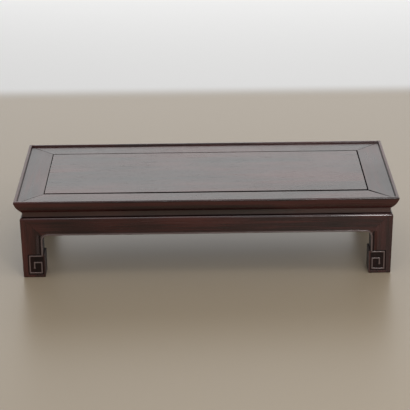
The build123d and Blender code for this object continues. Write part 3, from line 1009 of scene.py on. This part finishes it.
class Finish:
    """A material put together node by node."""

    def __init__(self, name):
        self.material = bpy.data.materials.new(name)
        self.material.use_nodes = True
        self.tree = self.material.node_tree
        self.tree.nodes.clear()

    def node(self, kind, settings=(), inputs=()):
        """A node with its settings made first, then the values or links of its sockets."""
        made = self.tree.nodes.new(kind)
        for key, value in dict(settings).items():
            if key == "stops":
                self.set_stops(made.color_ramp, value)
            else:
                setattr(made, key, value)
        for key, value in dict(inputs).items():
            if isinstance(value, Shade):
                value = value.socket
            if isinstance(value, bpy.types.NodeSocket):
                self.tree.links.new(value, made.inputs[key])
            else:
                made.inputs[key].default_value = value
        return made

    @staticmethod
    def set_stops(ramp, stops):
        """Colour stops as (place, colour) pairs."""
        while len(ramp.elements) < len(stops):
            ramp.elements.new(1)
        for element, (place, colour) in zip(ramp.elements, stops):
            element.position = place
            element.color = (*colour, 1)

    def where(self):
        """Object coordinates, which are the table's own."""
        return self.node("ShaderNodeTexCoord").outputs["Object"]

    def position(self):
        """Place on the table along X, Y and Z, in millimetres."""
        settings = {"operation": "SCALE"}
        scaled = self.node("ShaderNodeVectorMath", settings, {0: self.where(), "Scale": 1 / MM})
        parts = self.node("ShaderNodeSeparateXYZ", {}, {0: scaled.outputs[0]})
        return [Shade(self, part) for part in parts.outputs]

    def pattern(
        self,
        along,
        lengthwise,
        crosswise,
        detail,
        roughness=PATTERN_ROUGHNESS,
        distortion=0.0,
        offset=(0, 0, 0),
    ):
        """Noise that runs along one axis of the table."""
        scale = tuple(lengthwise if axis == along else crosswise for axis in "xyz")
        stretch = {"Vector": self.where(), "Scale": scale, "Location": offset}
        inputs = {
            "Vector": self.node("ShaderNodeMapping", {}, stretch).outputs[0],
            "Scale": 1.0,
            "Detail": detail,
            "Roughness": roughness,
            "Distortion": distortion,
        }
        return Shade(self, self.node("ShaderNodeTexNoise", {}, inputs).outputs[0])

    def attribute(self, name):
        """A number that the mesh carries at its corners."""
        settings = {"attribute_name": name}
        return Shade(self, self.node("ShaderNodeAttribute", settings).outputs["Fac"])

    def ramp(self, shade, stops):
        """Colour picked from stops by a shade."""
        return self.node("ShaderNodeValToRGB", {"stops": stops}, {0: shade}).outputs[0]

    def step(self, shade, zero, one):
        """0 on one side, 1 on the other and smooth between two places."""
        settings = {"interpolation_type": "SMOOTHSTEP"}
        made = self.node("ShaderNodeMapRange", settings, {0: shade, 1: zero, 2: one})
        return Shade(self, made.outputs[0])

    def between(self, shade, rise, fall):
        """1 between two limits, each given by the places where it is 0 and 1."""
        return self.step(shade, *rise) * self.step(shade, *fall)

    def mix(self, factor, first, second):
        """Two colours mixed by a shade."""
        settings = {"data_type": "RGBA"}
        return self.node("ShaderNodeMix", settings, {0: factor, 6: first, 7: second}).outputs[2]

    def surface(self, layers, wax_and_shade=None):
        """The shader that ends the material; where the mask is 1 it is a dark matt diffuse, which
        is painted shade as well as the old waxed filling of joints and grooves.
        """
        shader = self.node("ShaderNodeBsdfPrincipled", {}, layers)
        if wax_and_shade is not None:
            # Dark matt diffuse: old wax in joints and grooves, and painted shade
            dull_and_shaded = self.node("ShaderNodeBsdfDiffuse", {}, {"Color": OLD_WAX_AND_SHADE})
            parts = {0: wax_and_shade, 1: shader.outputs[0], 2: dull_and_shaded.outputs[0]}
            shader = self.node("ShaderNodeMixShader", {}, parts)
        self.node("ShaderNodeOutputMaterial", {}, {0: shader.outputs[0]})
        return self.material


class Rosewood(Finish):
    """Rosewood with its grain along one axis of the table, to which wear, painted shade and
    painted highlights are then added.
    """

    def __init__(self, name, along, polish, redness, waviness):
        super().__init__(name)
        patterns = (BANDS, STREAKS, PORES, PATCHES, HANDLING)
        bands, streaks, pores, patches, handled = (
            self.pattern(along, **pattern) for pattern in patterns
        )
        tone = bands * BANDS_IN_TONE + streaks * STREAKS_IN_TONE + patches * PATCHES_IN_TONE
        open_pores = self.step(pores, *OPEN_PORES)
        self.handled = handled
        self.colour = self.ramp(tone, WOOD_TONES)
        self.tint(self.step(patches, *RED_PATCHES) * redness, RED_WOOD)
        self.tint(open_pores * PORE_DARKNESS, DARK_WOOD)
        self.roughness = (
            polish
            + (handled - PATTERN_MIDDLE) * HANDLING_IN_ROUGHNESS
            + (streaks - PATTERN_MIDDLE) * STREAKS_IN_ROUGHNESS
            + open_pores * PORES_IN_ROUGHNESS
        )
        self.relief = (
            bands * BANDS_IN_RELIEF + streaks * STREAKS_IN_RELIEF - open_pores * PORES_IN_RELIEF
        )
        self.waviness = waviness
        self.lacquer = 0.0
        # Mask of old wax and painted shade, if any
        self.wax_and_shade = None

    def tint(self, share, colour):
        """Mix a colour into the wood."""
        self.colour = self.mix(share, self.colour, colour)

    def finished(self):
        """The material, with all its wear, painted shade and painted highlights."""
        bump = {
            "Height": self.relief,
            "Distance": self.waviness,
            "Strength": WAVINESS_STRENGTH,
        }
        layers = {
            "Base Color": self.colour,
            "Roughness": self.roughness,
            "Normal": self.node("ShaderNodeBump", {}, bump).outputs[0],
            "IOR": WOOD_IOR,
            "Coat Weight": self.lacquer,
            "Coat Roughness": LACQUER_ROUGHNESS,
        }
        return self.surface(layers, self.wax_and_shade)


def joint_wax_and_shade(wood):
    """1 where the top is painted dark: painted shade and old waxed filling in the gap round the
    panel, dark mitre joints, and painted shade at the foot of the lip and beside the front gap.
    """
    x, y, z = wood.position()
    along, deep = x.size(), y.size()
    above = wood.step(z, SURFACE - ARRIS, SURFACE - ARRIS / 2)
    on_top = above * wood.step(z, SURFACE + ARRIS, SURFACE + ARRIS / 2)

    # Painted shade, with old wax, on the walls of the gap round the panel
    past_rail = (along - INNER_X).either(deep - INNER_Y)
    over_panel = wood.step(past_rail, WAX_AND_SHADE_EDGE + WAX_AND_SHADE_FADE, WAX_AND_SHADE_EDGE)
    gap_shade_top, gap_shade_bottom = SURFACE - WAX_AND_SHADE_TOP, PANEL_BOTTOM + WAX_AND_SHADE_EDGE
    joint = over_panel * wood.between(
        z, (gap_shade_top, gap_shade_top - WAX_AND_SHADE_FADE), (gap_shade_bottom, gap_shade_bottom + WAX_AND_SHADE_FADE)
    )

    off_mitre = (along - deep - (HALF_LENGTH - HALF_DEPTH)).size()
    open_end = wood.step(along, HALF_LENGTH - LIP_WIDTH, INNER_X)
    open_corner = wood.step(x, *OPEN_MITRE_X) * wood.step(y, *OPEN_MITRE_Y)
    width = MITRE_WAX + open_corner * open_end * OPEN_MITRE_WAX
    mitre = wood.step(off_mitre - width, WAX_AND_SHADE_FADE, 0.0) * (1.0 - over_panel) * on_top

    # Painted shade in the crease at the foot of the lip
    lip_foot = (along - (HALF_LENGTH - LIP_WIDTH)).either(deep - (HALF_DEPTH - LIP_WIDTH))
    crease = wood.between(lip_foot, (-LIP_HOLLOW, -LIP_HOLLOW / 2), (SOFT_EDGE, 0.0))
    crease = crease * above * wood.step(z, SURFACE + LIP_HOLLOW, SURFACE) * CREASE_SHADE_SHARE

    # Painted shade spread onto the top beside the front gap, widest over part of its length, so
    # the gap reads darker and wider
    front = wood.step(y, 0.0, -INNER_Y / 2)
    spread = front * wood.step(x, *FRONT_SHADE_X) * FRONT_SHADE
    painted_front_shade = wood.step((deep - INNER_Y).size() - spread, WAX_AND_SHADE_FADE, 0.0) * on_top
    painted_front_shade = painted_front_shade * wood.step(along, INNER_X + WAX_AND_SHADE_EDGE, INNER_X)
    return joint.either(mitre).either(crease).either(painted_front_shade)


def worn_and_highlit_edge(wood, along):
    """1 on the upper swept edge, and on the lip of the end rails, where the wood is rubbed
    redder; on the swept edge the lighter red is also a painted highlight.
    """
    z = wood.position()[2]
    swept = wood.between(
        z,
        (SURFACE - EDGE_BAND, SURFACE - EDGE_BAND / 2),
        (SURFACE - ARRIS / 2, SURFACE - ARRIS),
    )
    if along == "x":
        return swept
    return swept.either(wood.step(z, SURFACE + ARRIS, SURFACE + LIP_HOLLOW))


def inner_sides(wood):
    """1 on the inner sides of the legs, which are made rougher and painted darker as shade."""
    x, y, z = wood.position()
    sides = []
    for across, other, reach, other_reach in (
        (x.size(), y.size(), HALF_LENGTH, HALF_DEPTH),
        (y.size(), x.size(), HALF_DEPTH, HALF_LENGTH),
    ):
        inner = reach - APRON_SETBACK - LEG_WIDTH
        behind_face = other_reach - APRON_SETBACK - BEAD
        inside = wood.step(across, inner + SOFT_EDGE, inner)
        sides.append(inside * wood.step(other, behind_face, behind_face - SOFT_EDGE))
    return sides[0].either(sides[1]) * wood.step(z, KNEE, KNEE - SOFT_EDGE)


def top_wood(along, polish):
    """Polished rosewood of the top, with waxed joints, painted shade in its gap and creases, and
    a rubbed edge that is partly a painted highlight.
    """
    wood = Rosewood(f"top_rosewood_{along}", along, polish, TOP_REDNESS, TOP_WAVINESS)
    # Old wax in the joints, and painted shade in the gap and creases
    wood.wax_and_shade = joint_wax_and_shade(wood)
    edge = worn_and_highlit_edge(wood, along)
    # Rubbed redder wood, and on the upper swept edge a painted highlight
    wood.tint(edge * wood.handled, RED_WOOD)
    wood.roughness = wood.roughness + edge * EDGE_ROUGHNESS
    return wood.finished()


def stand_wood(along):
    """Polished rosewood of waist, aprons and legs.

    Painted shade, with old waxed filling, darkens the grooves of the carving, and painted shade
    the crease over the shoulder;
    the crests carry a painted highlight and are polished, the shoulder is polished smoother, the
    inner sides of the legs are rougher and painted darker as shade, and the waist keeps its old
    lacquer.
    """
    wood = Rosewood(f"rosewood_{along}", along, POLISH, STAND_REDNESS, STAND_WAVINESS)
    carving = wood.attribute("carving")
    z = wood.position()[2]
    # Painted shade, with old wax, darkens the carving by how deep it lies
    grooves = wood.step(carving, *CARVING_SHADE_AND_WAX) * CARVING_SHADE_AND_WAX_SHARE
    crest = wood.step(carving, *CREST_DEPTHS) * (1.0 - grooves)
    # Painted shade in the crease where the waist meets the shoulder
    crease = wood.step((z - APRON_TOP).size(), CREASE_WIDTH, CREASE_WIDTH - SOFT_EDGE)
    waist = wood.step(z, APRON_TOP, APRON_TOP + ARRIS)
    low = APRON_TOP - SHOULDER
    shoulder = wood.between(
        z, (low - SOFT_EDGE, low + SOFT_EDGE), (APRON_TOP + SOFT_EDGE, APRON_TOP)
    )
    # Painted shade, with old wax, in the grooves, and painted shade in the crease
    wood.wax_and_shade = grooves.either(crease * CREASE_SHADE_SHARE)
    # Painted highlight: carved crests are tinted light as if they caught the light
    wood.tint(crest * CREST_HIGHLIGHT, CREST_HIGHLIGHT_TONE)
    wood.tint(waist * WAIST_DARKNESS, DARK_WOOD)
    wood.lacquer = waist * WAIST_LACQUER
    wood.roughness = wood.roughness - shoulder * SHOULDER_POLISH - crest * CREST_POLISH
    wood.relief = wood.relief * (1.0 - shoulder * SHOULDER_EVENNESS)
    if along == "z":
        # Painted shade: the inner sides of the legs are darkened, and made rougher
        dull_and_shaded = inner_sides(wood)
        wood.tint(dull_and_shaded * INNER_SIDE_SHADE, DARK_WOOD)
        wood.roughness = wood.roughness + dull_and_shaded * DULL_ROUGHNESS
    return wood.finished()


STAND_WOODS = {axis: stand_wood(axis) for axis in "xyz"}
TOP_WOODS = {axis: top_wood(axis, polish) for axis, polish in (("x", POLISH), ("y", END_POLISH))}
PLAIN_WOOD = Rosewood(
    "unpolished_wood_y", "y", UNPOLISHED, STAND_REDNESS, STAND_WAVINESS
).finished()


# --- The table put together -----------------------------------------------------------------

def settle(piece, name, finish, slot, *nodes):
    """Bring a finished piece to metres, give it its finish, hang it on the root and hide the CAD
    nodes that it stands in for.
    """
    piece.name = name
    piece.data.name = name
    moved_by(piece, Matrix.Scale(MM, 4))
    shade(piece)
    piece.data.materials.clear()
    piece.data.materials.append(finish)
    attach(piece, "root")
    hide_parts(*nodes)


for side, axis in {"front": "x", "rear": "x", "left": "y", "right": "y"}.items():
    top, stand = TOP_WOODS[axis], STAND_WOODS[axis]
    settle(frame_rail(side), f"moulded_{side}_rail", top, "top_frame", f"{side}_rail")
    settle(waist_strip(side), f"hollow_waist_{side}", stand, "aprons_and_waist", f"waist_{side}")
    settle(apron(side), f"beaded_apron_{side}", stand, "aprons_and_waist", f"apron_{side}")
settle(floating_panel(), "floating_panel", TOP_WOODS["x"], "top_panel", "top_panel")

first_leg = leg()
for depth in ("front", "rear"):
    for hand in ("left", "right"):
        this_leg = copy_of(first_leg)
        if depth == "rear":
            mirrored_y(this_leg)
        if hand == "right":
            mirrored_x(this_leg)
        place = f"{depth}_{hand}"
        settle(this_leg, f"scroll_leg_{place}", STAND_WOODS["z"], "legs", f"leg_{place}")
bpy.data.objects.remove(first_leg)

NODE_FINISHES = {
    ("front_rail", "rear_rail", "top_panel"): TOP_WOODS["x"],
    ("left_rail", "right_rail"): TOP_WOODS["y"],
    ("waist_front", "waist_rear", "apron_front", "apron_rear"): STAND_WOODS["x"],
    ("waist_left", "waist_right", "apron_left", "apron_right"): STAND_WOODS["y"],
    ("leg",): STAND_WOODS["z"],
    ("batten", "key"): PLAIN_WOOD,
}
for starts, finish in NODE_FINISHES.items():
    for name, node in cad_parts.items():
        if name.startswith(starts):
            node.data.materials.clear()
            node.data.materials.append(finish)
            finish == PLAIN_WOOD


# --- Floor, light and camera ----------------------------------------------------------------

FLOOR_TONE = (0.37, 0.30, 0.215, 1)
BACKDROP_TONE = (0.93, 0.93, 0.93, 1)
FLOOR_POLISH = 0.35
FLOOR_SPAN = 24
BACKDROP_FROM = (1380.0, 1560.0)
SENSOR_WIDTH = 36


def pale_floor():
    """Plain pale floor that grows lighter behind the table, as a studio backdrop does."""
    bpy.ops.object.select_all(action="DESELECT")
    bpy.ops.mesh.primitive_plane_add(size=FLOOR_SPAN, location=(0, 0, 0))
    floor = bpy.context.object
    floor.name = "floor"
    paint = Finish("floor_paint")
    backdrop = paint.step(paint.position()[1], *BACKDROP_FROM)
    colour = paint.mix(backdrop, FLOOR_TONE, BACKDROP_TONE)
    roughness = FLOOR_POLISH + backdrop * (1 - FLOOR_POLISH)
    floor.data.materials.append(paint.surface({"Base Color": colour, "Roughness": roughness}))


def soft_lamp(name, place, aim, width, height, watts):
    """Rectangular soft lamp that the camera doesn't see."""
    bpy.ops.object.select_all(action="DESELECT")
    bpy.ops.object.light_add(type="AREA", location=place)
    lamp = bpy.context.object
    lamp.name = name
    lamp.data.shape = "RECTANGLE"
    lamp.data.size = width
    lamp.data.size_y = height
    lamp.data.energy = watts
    lamp.rotation_mode = "QUATERNION"
    lamp.rotation_quaternion = (Vector(aim) - Vector(place)).to_track_quat("-Z", "Y")
    lamp.visible_camera = False


def studio_air(colour, strength):
    """Even light from all round."""
    world = bpy.data.worlds.new("studio_air")
    bpy.context.scene.world = world
    world.use_nodes = True
    background = world.node_tree.nodes["Background"]
    background.inputs[0].default_value = (*colour, 1)
    background.inputs[1].default_value = strength


def camera(place, pitch, yaw, roll, lens):
    """Camera by its place in metres, its angles in degrees and its lens in millimetres."""
    pitch, yaw, roll = (math.radians(angle) for angle in (pitch, yaw, roll))
    forward = Vector(
        (math.sin(yaw) * math.cos(pitch), math.cos(yaw) * math.cos(pitch), -math.sin(pitch))
    )
    right = Vector((math.cos(yaw), -math.sin(yaw), 0))
    up = right.cross(forward)
    turned_right = right * math.cos(roll) + up * math.sin(roll)
    turned_up = up * math.cos(roll) - right * math.sin(roll)
    bpy.ops.object.camera_add()
    viewer = bpy.context.object
    viewer.name = "camera"
    viewer.data.sensor_width = SENSOR_WIDTH
    viewer.data.lens = lens
    axes = Matrix((turned_right, turned_up, -forward)).transposed().to_4x4()
    viewer.matrix_world = Matrix.Translation(place) @ axes
    bpy.context.scene.camera = viewer


pale_floor()
studio_air(colour=(1.0, 0.99, 0.97), strength=0.28)
soft_lamp(
    "window_panel", place=(0.2, 3.4, 1.6), aim=(0, 0, 0.2), width=6.0, height=3.2, watts=70
)
soft_lamp(
    "ceiling_panel", place=(0.4, -1.1, 2.8), aim=(0, -0.2, 0.1), width=2.6, height=1.4, watts=20
)
soft_lamp(
    "left_panel", place=(-3.0, -0.6, 1.0), aim=(0, 0, 0.1), width=2.4, height=1.8, watts=12
)
soft_lamp(
    "right_panel", place=(3.0, -0.6, 1.0), aim=(0, 0, 0.1), width=2.4, height=1.8, watts=11
)
soft_lamp(
    "front_panel", place=(1.2, -3.3, 1.5), aim=(0, 0, 0.1), width=2.2, height=1.5, watts=23
)
soft_lamp(
    "small_lamp",
    place=(0.78, -2.6, 2.3),
    aim=(0.47, -0.22, 0.17),
    width=0.22,
    height=0.8,
    watts=14,
)
camera(place=(-0.015, -4.347, 1.725), pitch=20.32, yaw=0.16, roll=-0.70, lens=148.71)

bpy.context.scene.view_settings.view_transform = "Standard"
